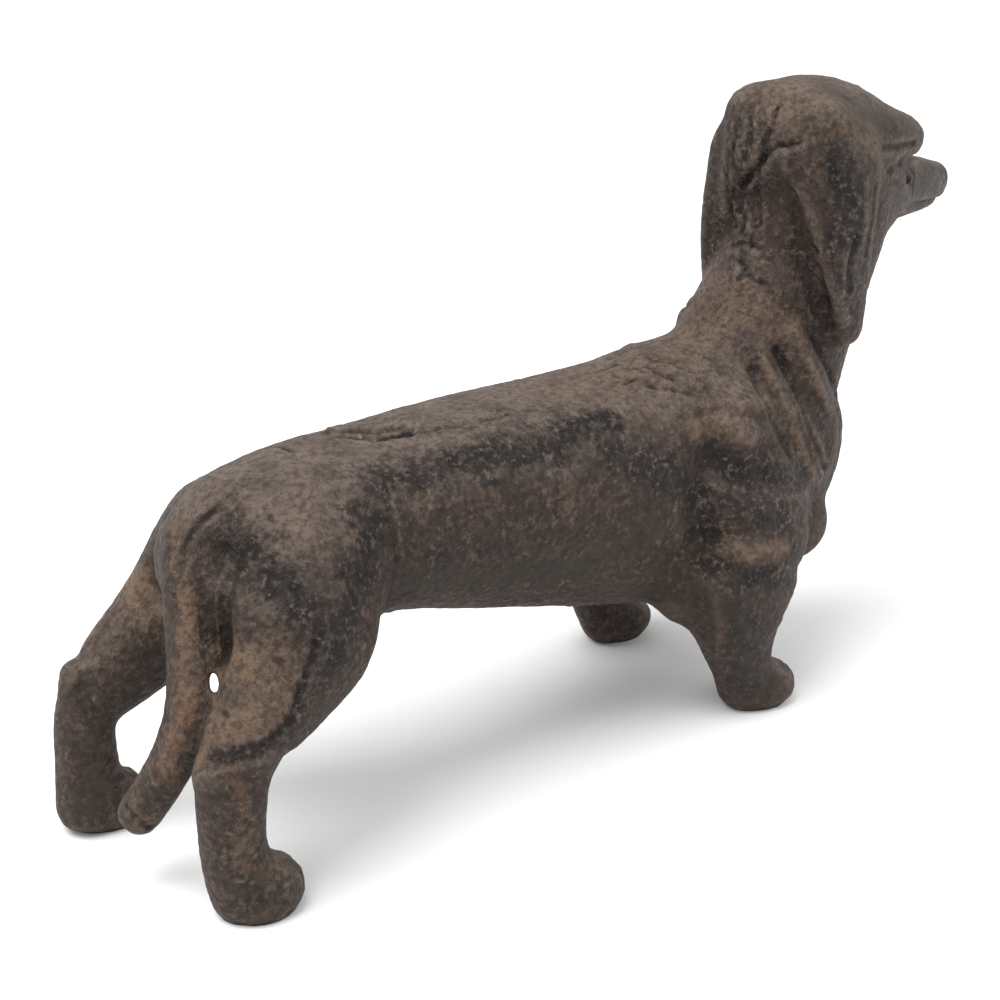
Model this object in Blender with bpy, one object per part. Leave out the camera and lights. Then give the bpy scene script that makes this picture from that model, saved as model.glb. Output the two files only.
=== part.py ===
"""Cast iron dachshund figurine: one solid casting that stands on its four flat soles.

Metres, +Z up, +X the way the body faces, +Y the dog's left. The origin lies on the ground
under the middle of the figure's length and width.

The figure is drawn in units of a hundredth of its wheelbase, from the middle of the hind
soles to the middle of the fore soles, so pose, proportions and carving are shares of the
wheelbase. Tapering limbs and mounds are fused into one skin, the creases between them are
filled as a modeller's thumb would, and the carving is cut into that skin.
"""

import math

import bmesh
import bpy
import numpy as np
from mathutils import Euler, Matrix, Vector
from mathutils.bvhtree import BVHTree

# Driving dimensions
WHEELBASE = 0.100
UNIT = WHEELBASE / 100.0

# Fineness of the skin in units, and how many triangles it keeps
FUSE_VOXEL = 1.0
CARVE_VOXEL = 0.7
TRIANGLES = 9000

# How often the skin is evened, first round the fused body and then with ears and tail on it,
# and the shares by which each round raises a hollow and sinks a hump
BODY_ROUNDS, BODY_FILL, BODY_SHAVE = 14, 0.9, 0.1
SKIN_ROUNDS, SKIN_FILL, SKIN_SHAVE = 5, 0.8, 0.2
CARVED_ROUNDS, CARVED_SHARE = 1, 0.3
SLIDE = 0.5

# The pose of the head: turned to the dog's left, bowed, and the point that it turns about
HEAD_TURN = math.radians(16.0)
HEAD_BOW = math.radians(20.0)
HEAD_PIVOT = (73.5, 0.5, 86.0)

# The finish of the casting
IRON_COLOUR = (0.085, 0.066, 0.054, 1.0)
IRON_ROUGHNESS = 0.55
IRON_METALLIC = 0.35

LEFT, RIGHT = 1, -1
ROUND = 2.0
FLAT_BACK = 3.0

# Stations of a limb: along, left, up, half width, half depth, and squareness of its upper half
TORSO = [
    (-42.2, 0.0, 46.2, 10.3, 9.2, ROUND),
    (-36.0, 0.0, 46.6, 13.2, 12.0, 2.2),
    (-26.0, 0.0, 46.4, 14.5, 13.5, 2.5),
    (-14.0, 0.0, 46.1, 14.8, 13.5, 2.7),
    (2.0, 0.0, 43.9, 15.0, 15.9, FLAT_BACK),
    (18.0, 0.0, 41.2, 15.6, 17.8, FLAT_BACK),
    (32.0, 0.0, 39.2, 16.2, 20.0, 2.6),
    (45.0, 0.0, 38.6, 15.8, 22.0, 2.4),
    (57.0, 0.0, 37.8, 14.8, 21.2, 2.2),
    (67.0, 0.0, 35.6, 12.8, 19.0, ROUND),
    (73.8, 0.0, 32.6, 8.9, 14.6, ROUND),
]
NECK = [
    (57.5, 0.0, 42.0, 13.5, 17.5, ROUND),
    (63.0, 0.0, 52.0, 12.6, 16.7, ROUND),
    (67.8, 0.2, 61.0, 11.6, 15.4, ROUND),
    (72.5, 0.5, 70.0, 11.5, 14.2, ROUND),
    (74.9, 0.6, 79.0, 11.9, 14.6, ROUND),
    (73.4, 0.6, 88.0, 11.9, 12.0, ROUND),
]
TAIL = [
    (-37.6, 0.0, 55.6, 5.8, 4.8, ROUND),
    (-43.4, -0.7, 52.0, 5.0, 4.4, ROUND),
    (-45.6, -3.0, 44.0, 4.3, 3.9, ROUND),
    (-47.3, -6.0, 36.5, 4.1, 3.8, ROUND),
    (-49.4, -7.6, 29.0, 3.8, 3.6, ROUND),
    (-52.0, -5.6, 20.5, 3.4, 3.4, ROUND),
    (-55.8, -1.4, 11.2, 3.3, 3.3, ROUND),
]

# Each leg from the body to below the ground, with its own stance
LEGS = {
    "hind_right": [
        (-30.5, -8.5, 47.0, 8.6, 12.0, ROUND),
        (-33.0, -11.8, 39.5, 8.2, 13.2, ROUND),
        (-38.9, -14.3, 32.8, 6.3, 9.6, ROUND),
        (-46.2, -15.9, 26.2, 5.5, 6.0, ROUND),
        (-48.4, -16.4, 19.0, 4.8, 5.2, ROUND),
        (-48.4, -16.3, 10.0, 4.7, 5.0, ROUND),
        (-47.0, -16.4, 2.4, 5.2, 5.3, ROUND),
    ],
    "hind_left": [
        (-29.8, 8.8, 46.2, 9.2, 12.6, ROUND),
        (-34.1, 12.0, 38.7, 8.6, 11.8, ROUND),
        (-41.1, 14.6, 31.5, 7.1, 8.7, ROUND),
        (-49.1, 15.9, 25.2, 5.8, 6.9, ROUND),
        (-53.9, 16.8, 20.0, 4.5, 4.9, ROUND),
        (-54.6, 16.8, 11.0, 4.6, 4.9, ROUND),
        (-54.7, 16.7, 2.6, 5.0, 5.6, ROUND),
    ],
    "fore_right": [
        (52.0, -10.5, 40.0, 7.4, 12.5, ROUND),
        (51.0, -13.5, 31.0, 7.0, 12.0, ROUND),
        (48.2, -15.4, 23.0, 6.3, 11.6, ROUND),
        (47.0, -16.2, 16.0, 5.4, 8.6, ROUND),
        (48.0, -16.2, 9.0, 4.9, 5.4, ROUND),
        (50.2, -15.8, 3.0, 4.9, 5.2, ROUND),
    ],
    "fore_left": [
        (49.0, 10.5, 40.0, 7.4, 12.5, ROUND),
        (48.0, 13.5, 31.0, 7.0, 12.0, ROUND),
        (45.2, 15.4, 23.0, 6.3, 11.6, ROUND),
        (43.2, 16.2, 16.0, 5.4, 8.6, ROUND),
        (44.2, 16.2, 9.0, 4.9, 5.4, ROUND),
        (46.2, 15.8, 3.0, 4.9, 5.2, ROUND),
    ],
}

# Paws: centre, radii, and how far each turns outwards in degrees
PAWS = {
    "hind_right": ((-44.8, -16.8, 3.3), (7.1, 6.1, 5.6), 4.0),
    "hind_left": ((-51.4, 16.6, 3.4), (6.8, 5.4, 5.2), 4.0),
    "fore_right": ((53.0, -16.2, 3.2), (6.6, 5.7, 4.6), 10.0),
    "fore_left": ((49.0, 16.2, 3.2), (6.6, 5.7, 4.6), 10.0),
}

# Muscle masses on both sides of the body: centre for the left, radii, turn in degrees
MUSCLES = [
    ((48.0, 11.5, 50.0), (8.5, 5.0, 6.5), (0.0, 25.0, 0.0)),
    ((54.0, 12.0, 34.0), (9.5, 5.4, 7.5), (0.0, 15.0, 0.0)),
    ((66.0, 7.8, 25.6), (7.4, 5.8, 6.4), (0.0, 0.0, 0.0)),
    ((39.0, 12.5, 21.5), (7.5, 4.2, 4.4), (0.0, 28.0, 0.0)),
    ((-29.5, 11.4, 46.5), (9.4, 5.0, 9.2), (0.0, -20.0, 0.0)),
]
HOCKS = [((-51.0, -16.3, 24.0), (3.2, 3.4, 4.2)), ((-55.0, 16.8, 25.2), (3.0, 3.2, 3.8))]

# The head in its own frame, from the nape to the nose
SKULL = [
    (-11.5, 0.0, 3.4, 9.2, 8.5, ROUND),
    (-6.5, 0.0, 2.6, 10.8, 10.4, 2.2),
    (1.0, 0.0, 2.2, 12.0, 11.6, 2.3),
    (9.0, 0.0, 1.4, 11.6, 11.4, 2.3),
    (16.0, 0.0, 0.2, 10.2, 10.4, 2.2),
    (22.5, 0.0, -1.0, 8.2, 8.7, ROUND),
    (29.0, 0.0, -0.7, 6.8, 6.5, 2.2),
    (36.0, 0.0, 0.2, 6.0, 5.5, 2.3),
    (42.5, 0.0, 1.2, 5.3, 4.7, 2.2),
    (46.0, 0.0, 1.9, 4.4, 3.9, ROUND),
]
HEAD_MASSES = [
    ((47.2, 0.0, 3.4), (3.1, 3.6, 2.9), (0.0, 0.0, 0.0)),
    ((12.5, 7.6, 7.4), (11.0, 4.8, 3.8), (0.0, 0.0, -9.0)),
    ((15.0, 6.8, -4.0), (8.0, 3.8, 5.5), (0.0, 0.0, -12.0)),
    ((-3.5, 7.4, 3.0), (8.0, 4.8, 7.5), (0.0, 0.0, 0.0)),
    ((-9.6, 5.8, 4.9), (6.0, 5.4, 5.6), (0.0, 0.0, 0.0)),
]

# An ear in the turned but unbowed frame of the head, from its root down to its tip
EAR = [
    (-3.5, 7.0, 7.0, 7.5, 3.8, ROUND),
    (-4.6, 10.2, 3.5, 7.2, 3.4, ROUND),
    (-5.2, 11.6, -3.0, 6.4, 2.7, ROUND),
    (-6.2, 12.2, -11.0, 5.8, 2.2, ROUND),
    (-5.8, 12.2, -19.6, 5.0, 2.0, ROUND),
    (-4.6, 12.0, -26.6, 3.3, 1.8, ROUND),
]

# The thick rear fold of an ear, which wraps back round the head, in the same frame
EAR_FOLD = [
    (-9.8, 5.8, 6.5, 4.8, 3.6, ROUND),
    (-9.3, 7.0, 0.0, 4.4, 3.4, ROUND),
    (-8.7, 8.6, -8.0, 3.6, 2.9, ROUND),
    (-7.8, 10.6, -17.0, 2.8, 2.1, ROUND),
]

# Carving on both sides of the body: path on the left side, radius, depth (raised if negative)
BODY_CARVING = [
    ([(43.5, 14.0, 58.0), (38.5, 17.0, 49.0), (37.5, 16.5, 39.0), (41.0, 16.0, 30.0)], 4.8, 1.2),
    ([(51.0, 16.0, 45.0), (57.0, 14.0, 43.5), (62.0, 11.5, 43.5)], 4.0, 1.1),
    ([(45.0, 17.0, 26.5), (53.0, 17.0, 24.0), (60.5, 14.0, 24.5)], 2.8, 0.6),
    ([(46.0, 17.0, 31.0), (53.5, 17.5, 28.0), (60.5, 14.0, 28.5)], 3.2, -0.4),
    ([(57.0, 13.0, 60.0), (64.0, 12.0, 49.0), (70.0, 9.5, 39.5)], 2.8, 0.9),
    ([(53.0, 13.0, 62.0), (60.0, 12.5, 51.0), (67.0, 11.0, 40.0)], 3.0, -0.8),
    ([(60.5, 12.0, 63.0), (67.0, 11.0, 53.0), (73.0, 8.5, 43.0)], 2.6, -0.6),
    ([(65.0, 11.0, 62.0), (70.5, 10.0, 52.0), (76.0, 7.0, 43.0)], 2.6, 0.8),
    ([(-20.5, 14.0, 56.0), (-17.5, 15.0, 47.0), (-18.5, 15.0, 39.0), (-22.5, 14.0, 33.5)], 4.8, 1.0),
    ([(-43.5, 8.0, 52.5), (-45.0, 9.0, 46.0), (-45.0, 10.0, 39.0)], 4.0, 1.2),
    ([(-54.0, 16.0, 28.0), (-49.0, 20.0, 25.0), (-44.0, 19.5, 24.5), (-41.0, 17.0, 26.0)], 1.6, 0.5),
]

# Carving on both sides of the head, in its own frame
HEAD_CARVING = [
    ([(46.5, 3.2, -0.6), (40.0, 5.0, -1.8), (33.0, 6.2, -3.2), (26.5, 7.2, -3.6)], 1.4, 0.6),
    ([(18.5, 9.6, 2.4), (24.0, 7.8, 2.0)], 3.0, 1.2),
    ([(11.0, 11.6, 2.8), (17.5, 10.2, 3.2), (24.5, 7.6, 3.4)], 2.2, 0.9),
    ([(21.0, 8.8, 1.7), (22.0, 8.5, 1.7)], 2.4, -1.7),
    ([(49.0, 1.8, 3.4), (49.2, 2.4, 3.0)], 1.1, 0.8),
    ([(28.0, 0.0, 6.0), (28.0, 3.0, 4.5)], 3.2, 0.5),
]

# Toes: how far their clefts lie to either side of the paw's middle, where each cleft runs as
# shares of the paw's length, how much they spread, and their radius and depth
TOE_CLEFTS = (-2.6, 0.0, 2.6)
TOE_RUN = (0.35, 0.75, 1.0)
TOE_NARROW, TOE_SPREAD = 0.75, 0.35
TOE_RADIUS, TOE_DEPTH = 1.1, 0.7

# How finely paths, rings and mounds are divided
STEPS = 12
RING_STEPS, RING_SIDES, DOME_RINGS = 5, 32, 4
MOUND_SIDES, MOUND_RINGS = 24, 14

# How far the domed end of a limb reaches, as a share of its lesser half width
DOME_REACH = 0.6


def clear_scene():
    """Removes whatever the scene holds."""
    for obj in list(bpy.data.objects):
        bpy.data.objects.remove(obj, do_unlink=True)


def spline(values, per_span):
    """Points on a Catmull-Rom spline through the rows of values, per_span to each span."""
    rows = np.array(values, float)
    ends = np.vstack([2 * rows[0] - rows[1], rows, 2 * rows[-1] - rows[-2]])
    out = []
    for i in range(len(rows) - 1):
        a, b, c, d = ends[i : i + 4]
        for step in range(per_span):
            t = step / per_span
            out.append(
                0.5 * (2 * b + (c - a) * t + (2 * a - 5 * b + 4 * c - d) * t**2
                       + (3 * b - a - 3 * c + d) * t**3)
            )
    out.append(rows[-1])
    return np.array(out)


def section(centre, side, upward, squareness):
    """A closed ring of points about centre: round below, and squarer above."""
    points = []
    for k in range(RING_SIDES):
        angle = 2 * math.pi * k / RING_SIDES
        c, s = math.cos(angle), math.sin(angle)
        power = 2 / (squareness if s > 0 else ROUND)
        points.append(
            centre + side * math.copysign(abs(c) ** power, c) + upward * math.copysign(abs(s) ** power, s)
        )
    return points


def limb(bm, stations, side_axis=(0, 1, 0)):
    """Adds a closed tapering form through the stations, with a domed end at each end."""
    path = spline(stations, RING_STEPS)
    centres = [Vector(row[:3]) for row in path]
    last = len(centres) - 1
    loops = []

    def add(i, grow, shift):
        run = (centres[min(i + 1, last)] - centres[max(i - 1, 0)]).normalized()
        side = (Vector(side_axis) - run * Vector(side_axis).dot(run)).normalized()
        wide, deep, squareness = path[i][3:6]
        ring = section(
            centres[i] + run * shift, side * wide * grow, run.cross(side) * deep * grow, squareness
        )
        loops.append([bm.verts.new(point) for point in ring])

    def dome(i, sign, steps):
        reach = DOME_REACH * min(path[i][3], path[i][4])
        for k in steps:
            angle = 0.5 * math.pi * k / (DOME_RINGS + 0.5)
            add(i, math.cos(angle), sign * reach * math.sin(angle))

    dome(0, -1, range(DOME_RINGS, 0, -1))
    for i in range(last + 1):
        add(i, 1.0, 0.0)
    dome(last, 1, range(1, DOME_RINGS + 1))
    for first, second in zip(loops, loops[1:]):
        for k in range(RING_SIDES):
            n = (k + 1) % RING_SIDES
            bm.faces.new((first[k], first[n], second[n], second[k]))
    bm.faces.new(list(reversed(loops[0])))
    bm.faces.new(loops[-1])


def mound(bm, centre, radii, turn=(0.0, 0.0, 0.0)):
    """Adds an ellipsoid about centre, turned by the degrees in turn."""
    matrix = (
        Matrix.Translation(Vector(centre))
        @ Euler([math.radians(angle) for angle in turn]).to_matrix().to_4x4()
        @ Matrix.Diagonal((*radii, 1.0))
    )
    bmesh.ops.create_uvsphere(
        bm, u_segments=MOUND_SIDES, v_segments=MOUND_RINGS, radius=1.0, matrix=matrix
    )


def to_hand(point, hand):
    """The point of the left side, carried to the given hand."""
    return (point[0], point[1] * hand, *point[2:])


def turned_frame():
    """From the turned but level frame of the head to the figure's."""
    return Matrix.Translation(Vector(HEAD_PIVOT)) @ Matrix.Rotation(HEAD_TURN, 4, "Z")


def head_frame():
    """From the head's own frame to the figure's."""
    return turned_frame() @ Matrix.Rotation(HEAD_BOW, 4, "Y")


def add_posed(bm, build, frame):
    """Adds to bm what build makes, carried by the frame."""
    part = bmesh.new()
    build(part)
    part.transform(frame)
    mesh = bpy.data.meshes.new("posed")
    part.to_mesh(mesh)
    part.free()
    bm.from_mesh(mesh)
    bpy.data.meshes.remove(mesh)


def body_forms(bm):
    """The torso, neck, legs and paws, and the muscles on them."""
    limb(bm, TORSO)
    limb(bm, NECK)
    for name, stations in LEGS.items():
        limb(bm, stations)
        centre, radii, splay = PAWS[name]
        mound(bm, centre, radii, (0.0, 0.0, math.copysign(splay, centre[1])))
    for centre, radii in HOCKS:
        mound(bm, centre, radii)
    for hand in (LEFT, RIGHT):
        for centre, radii, turn in MUSCLES:
            mound(bm, to_hand(centre, hand), radii, turn)


def head_forms(bm):
    """The skull with its muzzle, nose, brows and cheeks."""
    limb(bm, SKULL)
    for hand in (LEFT, RIGHT):
        for centre, radii, (roll, pitch, yaw) in HEAD_MASSES:
            mound(bm, to_hand(centre, hand), radii, (roll, pitch, yaw * hand))


def ear_forms(bm):
    """Both ears, hanging plumb."""
    for hand in (LEFT, RIGHT):
        for stations in (EAR, EAR_FOLD):
            limb(bm, [to_hand(station, hand) for station in stations], side_axis=(1, 0, 0))


def evaluated(mesh, kind, **settings):
    """A new mesh: the given one with one modifier of the given kind and settings on it."""
    obj = bpy.data.objects.new("forms", mesh)
    bpy.context.scene.collection.objects.link(obj)
    modifier = obj.modifiers.new("Form", kind)
    for name, value in settings.items():
        setattr(modifier, name, value)
    graph = bpy.context.evaluated_depsgraph_get()
    result = bpy.data.meshes.new_from_object(obj.evaluated_get(graph))
    bpy.data.objects.remove(obj, do_unlink=True)
    bpy.data.meshes.remove(mesh)
    return result


def fused(bm, voxel):
    """One closed skin round everything in bm, which is freed."""
    bmesh.ops.recalc_face_normals(bm, faces=bm.faces)
    mesh = bpy.data.meshes.new("forms")
    bm.to_mesh(mesh)
    bm.free()
    return evaluated(mesh, "REMESH", mode="VOXEL", voxel_size=voxel)


def read(mesh):
    """Points, normals and edges of a mesh as arrays."""
    points = np.empty(len(mesh.vertices) * 3)
    normals = np.empty(len(mesh.vertices) * 3)
    edges = np.empty(len(mesh.edges) * 2, np.int64)
    mesh.vertices.foreach_get("co", points)
    mesh.vertices.foreach_get("normal", normals)
    mesh.edges.foreach_get("vertices", edges)
    return points.reshape(-1, 3), normals.reshape(-1, 3), edges.reshape(-1, 2)


def relax(mesh, rounds, fill, shave):
    """Evens the skin: hollows rise by the share fill, and humps sink by the share shave."""
    for _ in range(rounds):
        points, normals, edges = read(mesh)
        total = np.zeros_like(points)
        for start, end in ((0, 1), (1, 0)):
            for axis in range(3):
                total[:, axis] += np.bincount(edges[:, start], points[edges[:, end], axis], len(points))
        degree = np.bincount(edges.ravel(), minlength=len(points))
        pull = total / degree[:, None] - points
        outward = np.einsum("ij,ij->i", pull, normals)
        share = np.where(outward > 0, fill, shave)
        along = pull - normals * outward[:, None]
        moved = points + normals * (outward * share)[:, None] + along * SLIDE
        mesh.vertices.foreach_set("co", moved.ravel())
        mesh.update()


def surface_path(tree, path):
    """The path laid on the skin that tree holds, as closely spaced points."""
    return np.array([tree.find_nearest(Vector(point))[0] for point in spline(path, STEPS)])


def distance_to(points, path):
    """How far each point is from the broken line through path."""
    best = np.full(len(points), np.inf)
    for start, end in zip(path[:-1], path[1:]):
        run = end - start
        length = max(run @ run, 1e-12)
        share = np.clip((points - start) @ run / length, 0, 1)
        best = np.minimum(best, np.linalg.norm(points - start - share[:, None] * run, axis=1))
    return best


def carve(mesh, strokes):
    """Cuts or raises each stroke (path, radius, depth) in the skin."""
    points, normals, _ = read(mesh)
    tree = BVHTree.FromPolygons(points.tolist(), [tuple(face.vertices) for face in mesh.polygons])
    shift = np.zeros(len(points))
    for path, radius, depth in strokes:
        away = distance_to(points, surface_path(tree, path)) / radius
        shift -= depth * np.where(away < 1, (1 - np.minimum(away, 1) ** 2) ** 2, 0)
    mesh.vertices.foreach_set("co", (points + normals * shift[:, None]).ravel())
    mesh.update()


def body_strokes():
    """The carving of the body on both sides."""
    return [
        ([to_hand(point, hand) for point in path], radius, depth)
        for path, radius, depth in BODY_CARVING
        for hand in (LEFT, RIGHT)
    ]


def head_strokes():
    """The carving of the head on both sides."""
    frame = head_frame()
    return [
        ([tuple(frame @ Vector(to_hand(point, hand))) for point in path], radius, depth)
        for path, radius, depth in HEAD_CARVING
        for hand in (LEFT, RIGHT)
    ]


def toe_strokes():
    """The clefts between the toes, over the front of each paw."""
    strokes = []
    for (x, y, z), (long, _, high), splay in PAWS.values():
        turn = math.radians(math.copysign(splay, y))
        for aside in TOE_CLEFTS:
            path = []
            for share in TOE_RUN:
                ahead, up = long * share, high * math.sqrt(max(0.0, 1 - share**2))
                across = aside * (TOE_NARROW + TOE_SPREAD * share)
                path.append((
                    x + ahead * math.cos(turn) - across * math.sin(turn),
                    y + ahead * math.sin(turn) + across * math.cos(turn),
                    z + up,
                ))
            strokes.append((path, TOE_RADIUS, TOE_DEPTH))
    return strokes


def flat_soles(mesh):
    """Cuts the skin off level at the ground and closes the four soles."""
    bm = bmesh.new()
    bm.from_mesh(mesh)
    bpy.data.meshes.remove(mesh)
    cut = bmesh.ops.bisect_plane(
        bm, geom=bm.verts[:] + bm.edges[:] + bm.faces[:], plane_co=(0, 0, 0),
        plane_no=(0, 0, -1), clear_outer=True,
    )
    rim = [item for item in cut["geom_cut"] if isinstance(item, bmesh.types.BMEdge)]
    bmesh.ops.holes_fill(bm, edges=rim, sides=0)
    bmesh.ops.triangulate(bm, faces=bm.faces)
    return bm


def skin():
    """The whole figure in units, on the ground."""
    bm = bmesh.new()
    body_forms(bm)
    add_posed(bm, head_forms, head_frame())
    body = fused(bm, FUSE_VOXEL)
    relax(body, BODY_ROUNDS, BODY_FILL, BODY_SHAVE)
    bm = bmesh.new()
    bm.from_mesh(body)
    bpy.data.meshes.remove(body)
    add_posed(bm, ear_forms, turned_frame())
    limb(bm, TAIL)
    whole = fused(bm, CARVE_VOXEL)
    relax(whole, SKIN_ROUNDS, SKIN_FILL, SKIN_SHAVE)
    carve(whole, body_strokes() + head_strokes() + toe_strokes())
    relax(whole, CARVED_ROUNDS, CARVED_SHARE, CARVED_SHARE)
    triangles = sum(len(face.vertices) - 2 for face in whole.polygons)
    whole = evaluated(whole, "TRIANGULATE")
    return evaluated(whole, "DECIMATE", ratio=TRIANGLES / triangles)


def iron():
    """The finish of the casting."""
    material = bpy.data.materials.new("cast_iron")
    material.use_nodes = True
    shader = material.node_tree.nodes["Principled BSDF"]
    shader.inputs["Base Color"].default_value = IRON_COLOUR
    shader.inputs["Roughness"].default_value = IRON_ROUGHNESS
    shader.inputs["Metallic"].default_value = IRON_METALLIC
    return material


def dachshund():
    """The casting at its real size, with the origin under the middle of its box."""
    bm = flat_soles(skin())
    middle = [
        0.5 * (min(v.co[axis] for v in bm.verts) + max(v.co[axis] for v in bm.verts)) for axis in (0, 1)
    ]
    bmesh.ops.translate(bm, vec=(-middle[0], -middle[1], 0), verts=bm.verts)
    bmesh.ops.scale(bm, vec=(UNIT, UNIT, UNIT), verts=bm.verts)
    mesh = bpy.data.meshes.new("dachshund")
    bm.to_mesh(mesh)
    bm.free()
    mesh.materials.append(iron())
    mesh.shade_smooth()
    obj = bpy.data.objects.new("dachshund", mesh)
    bpy.context.scene.collection.objects.link(obj)


clear_scene()
dachshund()
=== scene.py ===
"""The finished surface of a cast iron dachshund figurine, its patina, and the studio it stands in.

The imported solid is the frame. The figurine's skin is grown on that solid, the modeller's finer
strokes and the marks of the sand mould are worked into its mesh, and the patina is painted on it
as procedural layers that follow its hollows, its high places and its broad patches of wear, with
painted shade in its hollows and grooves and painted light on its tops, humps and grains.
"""

import logging
import math
from dataclasses import dataclass, field
from enum import Enum

import bmesh
import bpy
import numpy as np
from mathutils import Matrix, Quaternion, Vector, noise
from mathutils.bvhtree import BVHTree


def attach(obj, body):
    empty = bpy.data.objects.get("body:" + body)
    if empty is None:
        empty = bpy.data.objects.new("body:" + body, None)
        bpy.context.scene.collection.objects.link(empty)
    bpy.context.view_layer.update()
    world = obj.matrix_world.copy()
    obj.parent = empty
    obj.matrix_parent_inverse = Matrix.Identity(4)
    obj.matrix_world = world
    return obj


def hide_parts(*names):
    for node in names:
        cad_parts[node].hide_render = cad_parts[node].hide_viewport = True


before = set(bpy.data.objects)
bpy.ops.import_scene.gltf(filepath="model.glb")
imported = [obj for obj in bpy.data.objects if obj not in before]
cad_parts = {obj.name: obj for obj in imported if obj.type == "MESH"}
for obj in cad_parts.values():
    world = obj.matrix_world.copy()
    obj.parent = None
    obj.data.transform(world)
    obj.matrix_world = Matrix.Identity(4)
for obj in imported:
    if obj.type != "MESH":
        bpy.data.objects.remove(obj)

MM = 0.001
# How far a measuring pass moves a point towards the middle of its neighbours
SMOOTHING = 0.7
# A distance past every stroke's edge, in shares of its radius
FAR = 9.0
Array = np.ndarray
Point = tuple[float, ...]
Path = tuple[Point, ...]

log = logging.getLogger("dachshund")


def catmull_rom(path: Path, steps: int) -> Array:
    """Draws a smooth line through a few points.

    Args:
        path: the points that the line goes through.
        steps: how many pieces each span is divided into.

    Returns:
        The points of the line, as rows.
    """
    rows = np.array(path, float)
    if len(rows) == 1:
        return rows
    ends = np.vstack([2 * rows[0] - rows[1], rows, 2 * rows[-1] - rows[-2]])
    line = []
    for a, b, c, d in zip(ends, ends[1:], ends[2:], ends[3:]):
        for t in np.arange(steps) / steps:
            line.append(
                0.5 * (2 * b + (c - a) * t + (2 * a - 5 * b + 4 * c - d) * t**2
                       + (3 * b - a - 3 * c + d) * t**3)
            )
    line.append(rows[-1])
    return np.array(line)


class Relief(Enum):
    """How a stroke's depth falls off from its middle line to its edge."""

    ROUND = "round"
    CRACK = "crack"
    FLAT = "flat"

    def share(self, away: Array) -> Array:
        """Gives the share of the full depth at a distance from the middle line.

        Args:
            away: distances, where 1 is the edge of the stroke.

        Returns:
            Shares from 1 on the line to 0 at the edge.
        """
        near = np.clip(1 - away, 0, 1)
        if self is Relief.CRACK:
            return near**1.5
        if self is Relief.FLAT:
            slope = np.clip(near / 0.35, 0, 1)
            return slope**2 * (3 - 2 * slope)
        return (1 - np.clip(away, 0, 1) ** 2) ** 2


class Side(Enum):
    """Which sides of the dog a stroke lies on."""

    HERE = (1,)
    BOTH = (1, -1)


@dataclass(frozen=True)
class Stroke:
    """One stroke of a tool or brush, laid on the skin.

    Two numbers a point are places in the camera's picture, cast onto the skin from there. Three
    are millimetres from the middle of the wheelbase: ahead, to the dog's left, and up.
    """

    path: Path
    radius: float
    depth: float
    relief: Relief = Relief.ROUND
    ragged: float = 0.0
    side: Side = Side.HERE


@dataclass(frozen=True)
class Viewpoint:
    """The camera: where it stands, what it looks at, and its lens, in metres and millimetres."""

    place: Point = (-0.1981496, -0.2395012, 0.1821126)
    target: Point = (-0.0195475, 0.0003968, 0.0426486)
    lens: float = 76.591
    sensor: float = 36.0
    picture: float = 1000.0

    def turn(self) -> Quaternion:
        """Gives the camera's rotation."""
        return (Vector(self.target) - Vector(self.place)).to_track_quat("-Z", "Y")

    def ray(self, across: float, down: float) -> Vector:
        """Gives the direction in which the camera sees a place in its picture.

        Args:
            across: picture places from the left edge.
            down: picture places from the top edge.

        Returns:
            A unit vector.
        """
        reach = self.lens / self.sensor * self.picture
        half = self.picture / 2
        return (self.turn() @ Vector((across - half, half - down, -reach))).normalized()

    def build(self) -> None:
        """Makes the camera and sets it as the scene's."""
        camera = bpy.data.cameras.new("camera")
        camera.lens = self.lens
        camera.sensor_width = self.sensor
        camera.clip_start = 0.01
        camera.clip_end = 20.0
        holder = bpy.data.objects.new("camera", camera)
        holder.location = self.place
        holder.rotation_mode = "QUATERNION"
        holder.rotation_quaternion = self.turn()
        bpy.context.scene.collection.objects.link(holder)
        bpy.context.scene.camera = holder


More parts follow.
